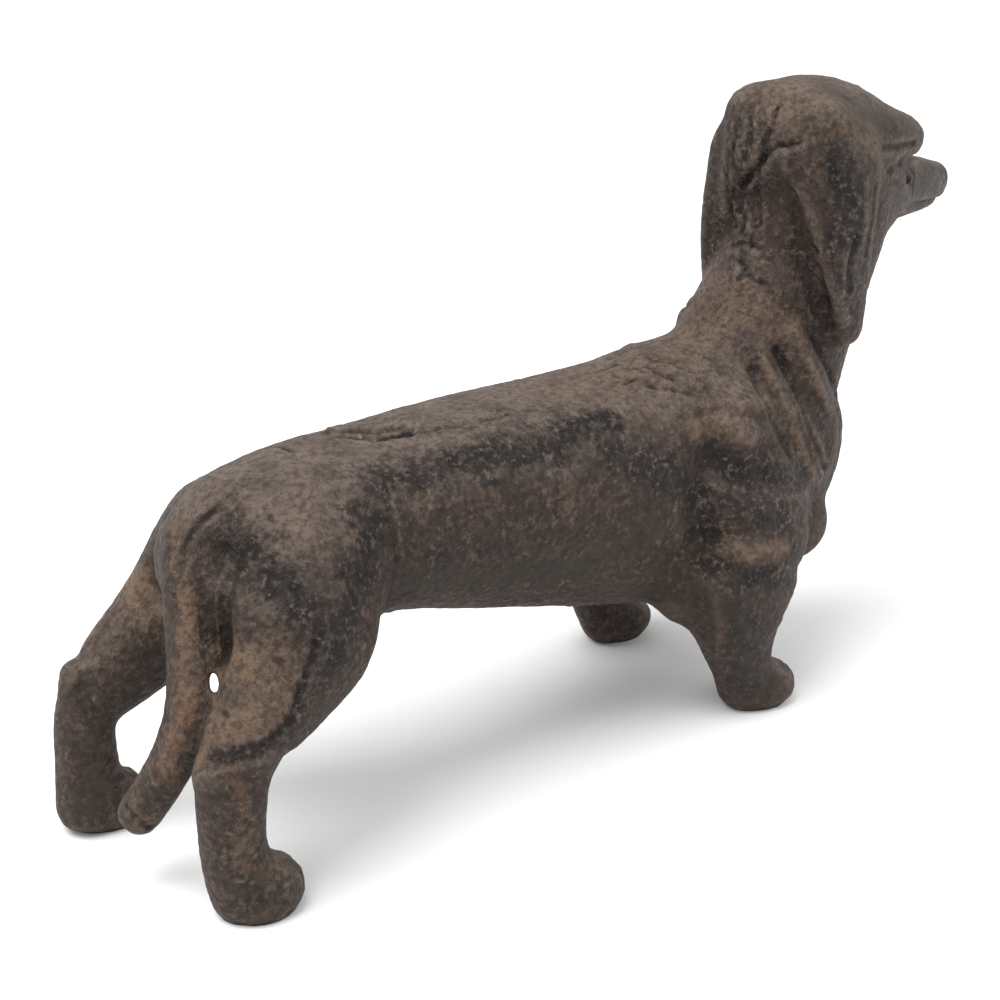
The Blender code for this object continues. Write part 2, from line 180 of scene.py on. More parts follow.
class Skin:
    """A mesh in millimetres that can be evened, carved, roughened and painted."""

    def __init__(self, mesh: bpy.types.Mesh, origin: Point) -> None:
        """Takes hold of a mesh in millimetres.

        Args:
            mesh: the mesh, which the skin changes in place.
            origin: the middle of the wheelbase, from which strokes are measured.
        """
        self.mesh = mesh
        self.origin = np.array(origin)
        count = len(mesh.vertices)
        self.points = np.empty(count * 3)
        mesh.vertices.foreach_get("co", self.points)
        self.points = self.points.reshape(-1, 3)
        edges = np.empty(len(mesh.edges) * 2, np.int64)
        mesh.edges.foreach_get("vertices", edges)
        self.edges = edges.reshape(-1, 2)
        self.degree = np.bincount(edges, minlength=count)[:, None]
        self.normals = np.empty_like(self.points)
        self.tree: BVHTree | None = None
        self.settle()

    def settle(self) -> None:
        """Writes the points to the mesh and reads its normals again."""
        self.mesh.vertices.foreach_set("co", self.points.ravel())
        self.mesh.update()
        normals = np.empty(self.points.size)
        self.mesh.vertices.foreach_get("normal", normals)
        self.normals = normals.reshape(-1, 3)
        self.tree = None

    def around(self, values: Array) -> Array:
        """Averages values over each point's neighbours.

        Args:
            values: one row for each point.

        Returns:
            The averages, in the same shape.
        """
        total = np.zeros_like(values)
        for column in range(values.shape[1]):
            for start, end in ((0, 1), (1, 0)):
                total[:, column] += np.bincount(
                    self.edges[:, start], values[self.edges[:, end], column], len(values)
                )
        return total / self.degree

    def even(self, rounds: int, share: float = 0.5, back: float = 0.0) -> None:
        """Smooths the skin.

        Args:
            rounds: how many times.
            share: how far each point goes towards its neighbours' middle.
            back: how far it then comes back, which keeps the skin from shrinking.
        """
        for _ in range(rounds):
            for step in (share, -back):
                if step:
                    self.points += (self.around(self.points) - self.points) * step
        self.settle()

    def hollow(self, rounds: int) -> Array:
        """Measures how far each point lies below the skin round it.

        Args:
            rounds: how wide an area counts as round it.

        Returns:
            Millimetres, more than 0 in a hollow and less on a hump.
        """
        smooth = self.points.copy()
        for _ in range(rounds):
            smooth += (self.around(smooth) - smooth) * SMOOTHING
        return np.einsum("ij,ij->i", smooth - self.points, self.normals)

    def lay(self, stroke: Stroke, eye: Viewpoint) -> list[Array]:
        """Lays a stroke's path on the skin.

        Args:
            stroke: the stroke.
            eye: the camera that picture places are cast from.

        Returns:
            One line of points for each side that the stroke lies on.
        """
        if self.tree is None:
            faces = [tuple(face.vertices) for face in self.mesh.polygons]
            self.tree = BVHTree.FromPolygons(self.points.tolist(), faces)
        if len(stroke.path[0]) == 2:
            start = Vector(eye.place) / MM
            hits = []
            for across, down in catmull_rom(stroke.path, 5):
                hit = self.tree.ray_cast(start, eye.ray(across, down))[0]
                if hit is not None:
                    hits.append(hit)
            line = np.array(hits).reshape(-1, 3) + self.origin
        else:
            line = catmull_rom(stroke.path, 6)
        lines = []
        for hand in stroke.side.value:
            turned = line * (1, hand, 1) - self.origin
            nearest = [self.tree.find_nearest(Vector(point))[0] for point in turned]
            lines.append(np.array(nearest))
        return lines

    def reach(self, stroke: Stroke, eye: Viewpoint, wander: Array) -> Array:
        """Measures a stroke's strength at every point.

        Args:
            stroke: the stroke.
            eye: the camera that picture places are cast from.
            wander: noise at every point, which makes a ragged stroke's edge wander.

        Returns:
            Shares from 0 to 1.
        """
        best = np.full(len(self.points), FAR)
        for line in self.lay(stroke, eye):
            if not len(line):
                log.warning("a stroke at %s misses the skin", stroke.path[0])
                continue
            margin = stroke.radius * 1.5
            low, high = line.min(axis=0) - margin, line.max(axis=0) + margin
            near = np.nonzero(np.all((self.points > low) & (self.points < high), axis=1))[0]
            points = self.points[near]
            away = np.linalg.norm(points - line[0], axis=1)
            for start, end in zip(line[:-1], line[1:]):
                run = end - start
                share = np.clip((points - start) @ run / max(run @ run, 1e-9), 0, 1)
                short = points - start - share[:, None] * run
                away = np.minimum(away, np.linalg.norm(short, axis=1))
            away = away / stroke.radius + wander[near] * stroke.ragged
            best[near] = np.minimum(best[near], away)
        return stroke.relief.share(np.maximum(best, 0))

    def carve(self, strokes: tuple[Stroke, ...], eye: Viewpoint, wander: Array) -> None:
        """Cuts or raises strokes in the skin.

        Args:
            strokes: what to cut, or to raise where the depth is less than 0.
            eye: the camera that picture places are cast from.
            wander: noise at every point.
        """
        shift = np.zeros(len(self.points))
        for stroke in strokes:
            shift -= stroke.depth * self.reach(stroke, eye, wander)
        self.points += self.normals * shift[:, None]
        self.settle()

    def paint(self, name: str, values: Array) -> None:
        """Keeps one number at every point, under a name that the finish reads.

        Args:
            name: the layer's name.
            values: the numbers.
        """
        layer = self.mesh.attributes.new(name, "FLOAT", "POINT")
        layer.data.foreach_set("value", np.asarray(values, np.float32))

    def grain(self, size: float, octaves: int, seed: float) -> Array:
        """Gives fractal noise at every point.

        Args:
            size: millimetres from one hump to the next.
            octaves: how many finer layers it has.
            seed: a shift that makes one noise unlike another.

        Returns:
            Numbers around 0, mostly between -1 and 1.
        """
        shift = Vector((seed, seed * 1.7, seed * 0.3))
        rows = (self.points / size).tolist()
        return np.array([noise.fractal(Vector(row) + shift, 0.9, 2.1, octaves) for row in rows])


# The finer modelling of the side that the camera sees, by places in its picture
SEEN = (
    # the head: the shade line under the brow, the eye, the mouth and the ear's free edges
    Stroke(((884, 148), (900, 147), (914, 144)), 1.0, 0.6),
    Stroke(((889, 172), (903, 162), (917, 156)), 1.2, 0.6),
    Stroke(((907, 180), (909, 181)), 1.1, 0.6),
    Stroke(((915, 160), (915, 178), (913, 197)), 0.7, -0.25),
    Stroke(((876, 186), (872, 225), (866, 255)), 1.1, 0.4),
    Stroke(((858, 240), (851, 264), (850, 290)), 1.1, 0.5),
    Stroke(((866, 180), (865, 215), (861, 245)), 1.2, -0.3),
    Stroke(((842, 168), (846, 200), (842, 238)), 4.0, 0.5),
    Stroke(((797, 234), (802, 264), (812, 298), (824, 326)), 1.8, 0.25, ragged=0.4),
    Stroke(((776, 150), (800, 190), (818, 235), (830, 280), (845, 322)), 1.7, -0.5),
    # the rough band that the mould's joint leaves down the neck
    Stroke(((742, 108), (738, 150), (737, 190), (741, 240), (745, 278)),
           2.4, -0.22, Relief.FLAT, 0.8),
    Stroke(((796, 143), (783, 146), (770, 151), (757, 166), (744, 184)),
           1.2, 0.9, Relief.CRACK, 0.4),
    Stroke(((776, 108), (772, 125), (764, 145), (757, 160)), 1.0, 0.6, Relief.CRACK, 0.4),
    Stroke(((737, 128), (734, 148), (733, 165)), 0.8, 0.5, Relief.CRACK, 0.4),
    Stroke(((734, 190), (731, 208), (735, 226)), 0.8, 0.5, Relief.CRACK, 0.4),
    Stroke(((742, 212), (745, 223), (741, 234)), 0.7, 0.4, Relief.CRACK, 0.4),
    Stroke(((761, 160), (757, 185), (760, 212), (758, 240)), 0.9, 0.4, Relief.CRACK, 0.4),
    Stroke(((750, 185), (748, 200), (751, 232)), 0.9, -0.3, Relief.ROUND, 0.4),
    Stroke(((732, 247), (745, 243), (760, 249)), 0.8, 0.45, Relief.CRACK, 0.5),
    Stroke(((741, 262), (744, 273), (737, 281)), 0.8, 0.4, Relief.CRACK, 0.5),
    Stroke(((748, 112), (750, 135), (745, 160)), 0.9, 0.5, Relief.CRACK, 0.5),
    Stroke(((729, 150), (727, 180), (729, 205)), 0.8, 0.4, Relief.CRACK, 0.5),
    Stroke(((752, 205), (754, 225), (750, 246)), 0.8, 0.45, Relief.CRACK, 0.5),
    Stroke(((746, 268), (752, 280), (764, 284)), 0.8, 0.45, Relief.CRACK, 0.3),
    Stroke(((728, 254), (740, 256)), 0.9, -0.3),
    Stroke(((815, 248), (817, 251)), 1.0, 0.5),
    Stroke(((682, 312), (690, 302), (700, 292)), 1.5, -0.35, Relief.ROUND, 0.4),
    # the folds of skin down the neck to the chest
    Stroke(((764, 362), (785, 405), (803, 450), (818, 490)), 1.5, -0.45),
    Stroke(((776, 350), (797, 395), (815, 440), (826, 468)), 1.2, 0.55),
    Stroke(((801, 346), (815, 375), (830, 412)), 1.2, -0.4),
    Stroke(((812, 338), (825, 365), (837, 395)), 1.0, 0.5),
    Stroke(((750, 370), (770, 415), (790, 455)), 1.2, 0.4),
    # the spine: seam, flash with its lip, and the crusty patch behind the withers
    Stroke(((173, 565), (180, 543), (191, 526), (208, 508), (228, 492), (246, 471)),
           0.7, -0.3, Relief.ROUND, 0.3),
    Stroke(((180, 572), (186, 546), (198, 528), (214, 512)), 0.9, 0.4, Relief.CRACK, 0.3),
    Stroke(((268, 447), (281, 446), (292, 450)), 1.0, 0.7, Relief.CRACK, 0.4),
    Stroke(((335, 431), (355, 428), (378, 430), (400, 425), (414, 428)),
           1.4, -0.6, Relief.FLAT, 0.4),
    Stroke(((340, 436), (360, 438), (376, 440), (396, 436), (412, 434)),
           0.9, 1.0, Relief.CRACK, 0.4),
    Stroke(((412, 433), (440, 429), (480, 421), (522, 412)), 0.6, 0.28, Relief.CRACK, 0.3),
    Stroke(((604, 369), (618, 364), (630, 369), (646, 366), (660, 374), (674, 379)),
           0.8, 0.45, Relief.CRACK, 0.35),
    Stroke(((624, 383), (639, 379), (652, 386), (670, 388), (690, 395)),
           0.8, 0.4, Relief.CRACK, 0.35),
    Stroke(((648, 357), (662, 362), (684, 360)), 0.8, 0.3, Relief.CRACK, 0.35),
    Stroke(((612, 374), (632, 375), (650, 379)), 1.3, -0.3, Relief.FLAT, 0.8),
    Stroke(((664, 370), (682, 376), (698, 384)), 1.4, -0.25, Relief.FLAT, 0.8),
    # the shoulder, the upper arm and the foreleg
    Stroke(((708, 432), (700, 465), (702, 500), (712, 540)), 2.2, 0.5),
    Stroke(((698, 434), (724, 428), (750, 438)), 3.0, -0.8),
    Stroke(((735, 402), (765, 404), (790, 414)), 2.4, -0.4),
    Stroke(((704, 512), (740, 508), (782, 518)), 4.0, -0.5),
    Stroke(((716, 464), (745, 476), (775, 480), (806, 474)), 3.6, 1.1),
    Stroke(((702, 536), (728, 552), (752, 558), (778, 552), (798, 538)), 2.6, -0.3, ragged=0.4),
    Stroke(((728, 566), (752, 571), (776, 568)), 1.6, 0.25, ragged=0.5),
    Stroke(((716, 578), (718, 608), (722, 638)), 2.0, -0.15),
    # the flank
    Stroke(((567, 480), (570, 500), (571, 520)), 2.2, -0.3),
    Stroke(((600, 470), (606, 500), (604, 530)), 3.0, 0.2),
    Stroke(((384, 490), (389, 525), (396, 560), (392, 585), (388, 605)), 0.6, 0.25, Relief.CRACK),
    Stroke(((392, 492), (397, 525), (403, 558)), 0.7, -0.15),
    Stroke(((343, 573), (355, 600), (368, 625), (375, 642)), 0.6, 0.22, Relief.CRACK),
    Stroke(((400, 470), (470, 458), (540, 452), (570, 462)), 4.0, 0.35),
    # the hind leg and the tail
    Stroke(((218, 590), (217, 620), (216, 652)), 2.6, -1.3),
    Stroke(((224, 548), (217, 575), (213, 605), (211, 640)), 1.2, 0.3),
    Stroke(((190, 600), (188, 660), (186, 715), (172, 760)), 2.2, -0.12, Relief.ROUND, 0.5),
    Stroke(((318, 640), (305, 680), (290, 718), (268, 742), (240, 752), (206, 760)),
           1.5, 0.55, Relief.CRACK, 0.6),
    Stroke(((200, 768), (225, 764), (252, 758), (280, 744)), 1.2, 0.35),
    Stroke(((222, 713), (226, 716)), 0.8, 0.4),
    Stroke(((137, 800), (131, 812)), 1.3, -0.35, Relief.ROUND, 0.6),
    Stroke(((126, 806), (140, 820), (150, 828)), 0.9, 0.3, Relief.CRACK, 0.6),
    Stroke(((66, 690), (78, 672), (96, 664)), 1.2, -0.25),
)

# The finer modelling of the sides that the camera doesn't see, in keeping with the side it does
UNSEEN = (
    Stroke(((43.0, 16.0, 57.0), (50.0, 17.0, 58.0), (56.0, 15.0, 55.0)), 2.4, -0.45),
    Stroke(((39.0, 17.0, 49.0), (46.0, 18.0, 46.5), (55.0, 17.0, 46.0)), 2.6, 0.5),
    Stroke(((36.0, 17.0, 52.0), (34.5, 17.5, 44.0), (36.5, 17.5, 35.0)), 2.2, 0.45),
    Stroke(((38.0, 18.0, 31.0), (46.0, 19.0, 28.5), (55.0, 18.0, 29.5)), 2.6, -0.3, ragged=0.4),
    Stroke(((41.0, 18.0, 27.0), (47.0, 19.0, 25.3), (53.0, 17.5, 26.0)), 1.6, 0.25, ragged=0.5),
    Stroke(((54.0, 12.0, 63.0), (60.5, 12.5, 51.5), (66.5, 11.0, 39.5)), 1.5, -0.4),
    Stroke(((57.0, 12.0, 63.5), (63.0, 12.5, 53.0), (69.0, 10.5, 42.0)), 1.2, 0.45),
    Stroke(((-54.0, 20.0, 27.0), (-49.0, 21.0, 24.5), (-44.0, 20.0, 24.0)), 1.2, 0.3),
    Stroke(((-34.0, 18.0, 46.0), (-30.0, 18.0, 38.0), (-29.0, 16.0, 32.0)),
           0.7, 0.2, Relief.CRACK),
    Stroke(((12.0, 15.5, 50.0), (11.5, 16.5, 43.0)), 2.2, -0.25),
    # the face: mouth, nose pad, nostrils, eyelids and the line of the cheek
    Stroke(((116.2, 15.0, 69.4), (114.4, 15.6, 69.5), (107.7, 15.5, 70.6), (100.5, 14.7, 71.7)),
           0.7, 0.4, Relief.CRACK),
    Stroke(((117.4, 10.8, 69.4), (116.2, 9.4, 69.5), (110.4, 5.9, 70.6), (104.0, 2.8, 71.7)),
           0.7, 0.4, Relief.CRACK),
    Stroke(((113.9, 15.8, 71.6), (115.2, 16.0, 74.5), (117.0, 13.0, 76.3)),
           0.7, 0.3, Relief.CRACK),
    Stroke(((115.9, 8.9, 71.6), (117.1, 9.5, 74.5), (117.0, 13.0, 76.3)), 0.7, 0.3, Relief.CRACK),
    Stroke(((118.8, 15.3, 72.5), (118.2, 15.7, 72.2)), 0.9, 0.6),
    Stroke(((119.8, 12.0, 72.5), (119.4, 11.3, 72.2)), 0.9, 0.6),
    Stroke(((88.5, 15.0, 81.6), (91.7, 15.3, 82.3), (94.2, 14.6, 80.1)), 0.8, 0.4, Relief.CRACK),
    Stroke(((93.9, -3.8, 81.6), (96.7, -2.4, 82.3), (98.5, -0.4, 80.1)), 0.8, 0.4, Relief.CRACK),
    Stroke(((88.2, 14.7, 80.7), (90.4, 14.7, 78.2), (93.7, 14.5, 78.5)), 0.8, 0.35, Relief.CRACK),
    Stroke(((93.5, -3.7, 80.7), (95.4, -2.6, 78.2), (98.0, -0.7, 78.5)), 0.8, 0.35, Relief.CRACK),
    Stroke(((83.1, 13.2, 71.3), (89.4, 13.0, 70.1), (94.8, 13.3, 70.0)), 1.6, 0.3),
    Stroke(((88.4, -5.2, 71.3), (93.5, -1.7, 70.1), (98.3, 1.0, 70.0)), 1.6, 0.3),
    # the seam of the mould under the belly, the chest and the throat
    Stroke(((-30.0, 0.0, 33.0), (0.0, 0.0, 28.0), (30.0, 0.0, 19.0),
            (60.0, 0.0, 15.0), (78.0, 0.0, 24.0)),
           0.6, -0.22, Relief.ROUND, 0.4),
    Stroke(((80.0, 0.0, 40.0), (81.0, 0.0, 52.0), (80.0, 1.5, 64.0)),
           0.6, -0.18, Relief.ROUND, 0.4),
)


@dataclass(frozen=True)
class Wear:
    """One painted layer of the patina, some with painted light and shade in it: broad strokes whose
    edges wander.
    """

    name: str
    strokes: tuple[Stroke, ...]


def daub(
    path: Path, radius: float, strength: float, ragged: float, side: Side = Side.BOTH
) -> Stroke:
    """Gives a painted stroke, which lies on both sides unless it says otherwise.

    Args:
        path: the points that it goes through.
        radius: millimetres from its middle line to its edge.
        strength: how strongly it covers, where 1 is fully.
        ragged: how far its edge wanders, as a share of the radius.
        side: the sides of the dog that it lies on.

    Returns:
        The stroke.
    """
    return Stroke(path, radius, strength, Relief.ROUND, ragged, side)


# black-brown scale on the flank, the thigh, the shoulder, the neck and the ear, with painted shade
# in some of their grooves and painted shadow under the ear's fold
DARK = Wear("dark", (
    daub(((380, 480), (430, 470), (500, 458), (560, 440), (610, 425)), 5.5, 1.0, 0.4),
    daub(((370, 520), (365, 560), (352, 600), (345, 640)), 5.0, 1.0, 0.5),
    daub(((600, 438), (645, 462), (690, 490), (704, 535)), 5.0, 0.9, 0.4),
    # painted shade in the groove across the shoulder and in the crease under the upper arm
    daub(((716, 462), (750, 476), (800, 478)), 4.8, 1.0, 0.3),
    daub(((705, 565), (735, 580), (780, 580)), 3.2, 0.9, 0.4),
    # painted shadow on the ear under its fold, and painted shade in the hollow behind the ear
    daub(((838, 158), (846, 190), (850, 222), (846, 262), (848, 300)), 4.6, 1.0, 0.4),
    daub(((790, 235), (803, 270), (812, 310)), 2.6, 0.45, 0.4),
    # painted shade in the groove between the tail and the thigh
    daub(((226, 545), (218, 580), (214, 625)), 2.4, 0.5, 0.5, Side.HERE),
    daub(((236, 545), (275, 575), (305, 610), (338, 650)), 6.5, 0.95, 0.4),
    daub(((322, 648), (303, 700), (276, 740), (225, 758)), 2.4, 0.9, 0.6),
    daub(((740, 120), (742, 170), (740, 220), (745, 270)), 2.2, 0.7, 0.6, Side.HERE),
    daub(((760, 120), (765, 150), (757, 200)), 1.8, 0.6, 0.6, Side.HERE),
    daub(((430, 555), (480, 550), (520, 540)), 3.5, 0.5, 0.6),
    daub(((345, 432), (380, 438), (412, 433)), 0.9, 0.8, 0.5, Side.HERE),
    daub(((930, 170), (945, 180)), 5.0, 0.7, 0.2, Side.HERE),
    daub(((712, 508), (745, 504), (785, 514)), 5.0, 0.95, 0.4),
    daub(((242, 868), (262, 885), (285, 896)), 5.0, 0.4, 0.3),
    daub(((736, 582), (750, 618), (752, 680)), 5.5, 0.5, 0.3),
    daub(((430, 430), (500, 420), (560, 408)), 3.0, 0.4, 0.6, Side.HERE),
))

# light tan, worn or dusty, with painted light on the tops of the back and the head and on raised
# ridges
TAN = Wear("tan", (
    daub(((222, 668), (262, 672), (268, 705), (235, 728)), 6.0, 1.1, 0.4),
    daub(((290, 660), (270, 700)), 3.5, 0.7, 0.6),
    daub(((722, 543), (750, 554), (785, 545)), 2.4, 0.8, 0.5),
    # wear and painted highlights on the shoulder blade and on the crests of the neck's folds
    daub(((694, 430), (722, 424), (750, 434)), 3.4, 0.7, 0.5),
    daub(((735, 404), (765, 404), (790, 414)), 2.4, 0.4, 0.5),
    daub(((765, 365), (790, 420), (815, 485)), 1.5, 0.9, 0.4),
    daub(((800, 348), (828, 410)), 1.3, 0.8, 0.4),
    daub(((570, 480), (572, 520)), 3.0, 0.3, 0.6),
    daub(((430, 502), (520, 502), (600, 500)), 4.5, 0.2, 0.7),
    daub(((715, 580), (720, 640)), 1.6, 0.4, 0.5),
    daub(((180, 520), (176, 560), (184, 600), (186, 680), (170, 750)), 3.0, 0.6, 0.5, Side.HERE),
    # dust and painted top light on the crown, the back and the withers
    daub(((775, 96), (820, 104), (865, 120), (895, 132)), 8.0, 0.6, 0.3, Side.HERE),
    daub(((560, 392), (640, 372), (690, 345), (740, 305), (790, 330)), 6.5, 0.65, 0.4),
    daub(((250, 860), (290, 880)), 6.0, 0.3, 0.5),
))

# rust on the tail and what it touches
RUST = Wear("rust", (
    daub(((187, 600), (186, 640), (186, 690), (178, 730), (160, 780)), 2.6, 0.8, 0.7, Side.HERE),
    daub(((188, 690), (183, 720), (176, 740)), 2.6, 1.0, 0.5, Side.HERE),
    daub(((212, 670), (212, 720), (200, 760)), 1.8, 0.8, 0.6, Side.HERE),
    daub(((137, 805), (150, 820)), 2.6, 0.7, 0.6, Side.HERE),
    daub(((230, 770), (240, 810), (245, 860)), 3.5, 0.35, 0.6),
))

# smooth grey-green skin, where the mould was tight
CALM = Wear("calm", (
    daub(((400, 585), (450, 580), (520, 575), (590, 565), (640, 540)), 4.5, 1.0, 0.4),
    daub(((640, 590), (690, 600), (740, 620), (745, 680), (775, 690)), 5.5, 0.9, 0.3),
    daub(((770, 600), (765, 640)), 4.0, 0.8, 0.3),
    daub(((830, 90), (870, 115), (905, 130)), 7.0, 0.8, 0.3),
    daub(((850, 250), (845, 310)), 3.0, 0.6, 0.3),
    daub(((80, 750), (90, 800)), 4.0, 0.5, 0.4, Side.HERE),
    daub(((912, 185), (932, 178), (944, 178)), 7.0, 1.0, 0.2, Side.HERE),
))

WEARS = (DARK, TAN, RUST, CALM)


class Shader:
    """A material in the making, with short ways to add its nodes."""

    def __init__(self, name: str) -> None:
        """Starts an empty material.

        Args:
            name: the material's name.
        """
        self.material = bpy.data.materials.new(name)
        self.material.use_nodes = True
        self.tree = self.material.node_tree
        self.shader = self.tree.nodes["Principled BSDF"]

    def node(self, kind: str, **inputs: float) -> bpy.types.Node:
        """Adds a node.

        Args:
            kind: the node's type.
            inputs: values for its inputs, by name.

        Returns:
            The node.
        """
        made = self.tree.nodes.new(kind)
        for name, value in inputs.items():
            made.inputs[name].default_value = value
        return made

    def link(self, source: object, target: bpy.types.NodeSocket) -> None:
        """Links a socket to another, or sets a number or colour on it.

        Args:
            source: a socket, a number or a colour.
            target: the input that takes it.
        """
        if isinstance(source, bpy.types.NodeSocket):
            self.tree.links.new(source, target)
        elif isinstance(source, tuple):
            target.default_value = (*source, 1.0)
        else:
            target.default_value = source

    def layer(self, name: str) -> bpy.types.NodeSocket:
        """Reads a layer painted on the skin.

        Args:
            name: the layer's name.

        Returns:
            The layer's value at each place.
        """
        node = self.node("ShaderNodeAttribute")
        node.attribute_name = name
        return node.outputs["Fac"]

    def math(self, operation: str, values: tuple[object, ...]) -> bpy.types.NodeSocket:
        """Chains one operation over several values.

        Args:
            operation: the operation's name.
            values: sockets or numbers.

        Returns:
            The result.
        """
        result = values[0]
        for value in values[1:]:
            node = self.node("ShaderNodeMath")
            node.operation = operation
            self.link(result, node.inputs[0])
            self.link(value, node.inputs[1])
            result = node.outputs[0]
        return result

    def add(self, *values: object) -> bpy.types.NodeSocket:
        """Adds sockets or numbers."""
        return self.math("ADD", values)

    def times(self, *values: object) -> bpy.types.NodeSocket:
        """Multiplies sockets or numbers."""
        return self.math("MULTIPLY", values)

    def stretch(self, value: bpy.types.NodeSocket, low: float, high: float) -> bpy.types.NodeSocket:
        """Stretches a value so that low becomes 0 and high becomes 1, and no further.

        Args:
            value: the value.
            low: what becomes 0.
            high: what becomes 1.

        Returns:
            The stretched value.
        """
        node = self.node("ShaderNodeMapRange")
        node.inputs["From Min"].default_value = low
        node.inputs["From Max"].default_value = high
        self.link(value, node.inputs["Value"])
        return node.outputs["Result"]

    def noise(
        self, size: float, detail: float, rough: float, spread: float
    ) -> bpy.types.NodeSocket:
        """Adds fractal noise that is fixed to the object.

        Args:
            size: millimetres from one patch to the next.
            detail: how many finer layers it has.
            rough: how strong the finer layers are.
            spread: how far from the middle, 0.5, the noise becomes 0 or 1.

        Returns:
            The noise, from 0 to 1.
        """
        place = self.node("ShaderNodeTexCoord").outputs["Object"]
        texture = self.node(
            "ShaderNodeTexNoise", Scale=1 / (size * MM), Detail=detail, Roughness=rough
        )
        self.link(place, texture.inputs["Vector"])
        return self.stretch(texture.outputs["Fac"], 0.5 - spread, 0.5 + spread)

    def around(self, value: object, share: float) -> bpy.types.NodeSocket:
        """Gives a share of a noise, shifted so that its middle is 0."""
        return self.times(self.add(value, -0.5), share)

    def mix(self, share: object, first: object, second: object) -> bpy.types.NodeSocket:
        """Mixes two colours.

        Args:
            share: how much of the second.
            first: a colour or socket.
            second: a colour or socket.

        Returns:
            The mixed colour.
        """
        node = self.node("ShaderNodeMix")
        node.data_type = "RGBA"
        node.clamp_factor = True
        self.link(share, node.inputs["Factor"])
        self.link(first, node.inputs[6])
        self.link(second, node.inputs[7])
        return node.outputs[2]


